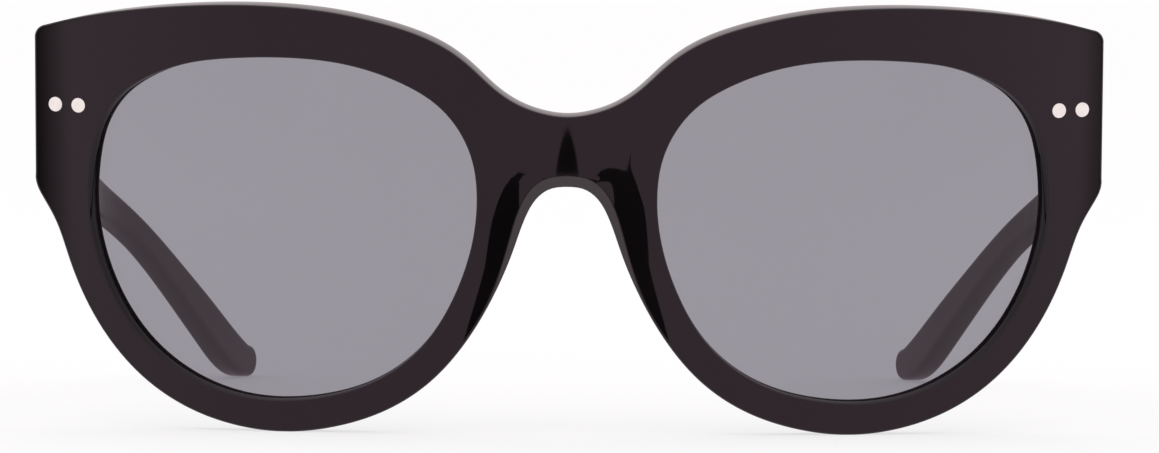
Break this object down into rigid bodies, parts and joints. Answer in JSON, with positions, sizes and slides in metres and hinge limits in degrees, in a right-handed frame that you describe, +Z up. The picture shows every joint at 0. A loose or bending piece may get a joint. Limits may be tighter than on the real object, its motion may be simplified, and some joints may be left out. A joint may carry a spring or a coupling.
{
  "type": "cat eye sunglasses",
  "caption": "Oversized cat eye sunglasses: curved black acetate front, grey tinted lenses and broad folding temples on riveted barrel hinges.",
  "frame": {"origin": "on the table, midway between the sides and between the front's foremost point and the temple tips", "axes": "+X to the wearer's left, -Y the way the wearer looks, +Z up, temples open and resting on the table"},
  "size_m": [0.1466, 0.1362, 0.0582],
  "materials": {
    "acetate": "polished black",
    "pad": "polished black, softly rounded",
    "lens": "smoke grey, polished",
    "hinge": "satin nickel silver",
    "screw": "turned stainless steel",
    "rivet": "flush, satin polished",
    "core": "drawn nickel silver"
  },
  "bodies": {
    "front": {"front_frame": "acetate", "lens_left": "lens", "lens_right": "lens", "nose_pad_left": "pad", "nose_pad_right": "pad", "front_hinge_leaf_left": "hinge", "front_hinge_leaf_right": "hinge", "hinge_screw_left": "screw", "hinge_screw_right": "screw", "front_rivet_inner_left": "rivet", "front_rivet_inner_right": "rivet", "front_rivet_outer_left": "rivet", "front_rivet_outer_right": "rivet"},
    "left_temple": {"temple_left": "acetate", "temple_core_wire_left": "core", "temple_hinge_leaf_left": "hinge", "temple_rivet_front_left": "rivet", "temple_rivet_rear_left": "rivet"},
    "right_temple": {"temple_right": "acetate", "temple_core_wire_right": "core", "temple_hinge_leaf_right": "hinge", "temple_rivet_front_right": "rivet", "temple_rivet_rear_right": "rivet"}
  },
  "joints": [
    {"name": "left_temple_fold", "type": "hinge", "parent": "front", "child": "left_temple", "pos_m": [0.0666, -0.0503, 0.04468], "axis": [0, 0.0471, 0.9989], "range_deg": [0, 81]},
    {"name": "right_temple_fold", "type": "hinge", "parent": "front", "child": "right_temple", "pos_m": [-0.0666, -0.0503, 0.04468], "axis": [0, 0.0471, 0.9989], "range_deg": [-76, 0]}
  ]
}
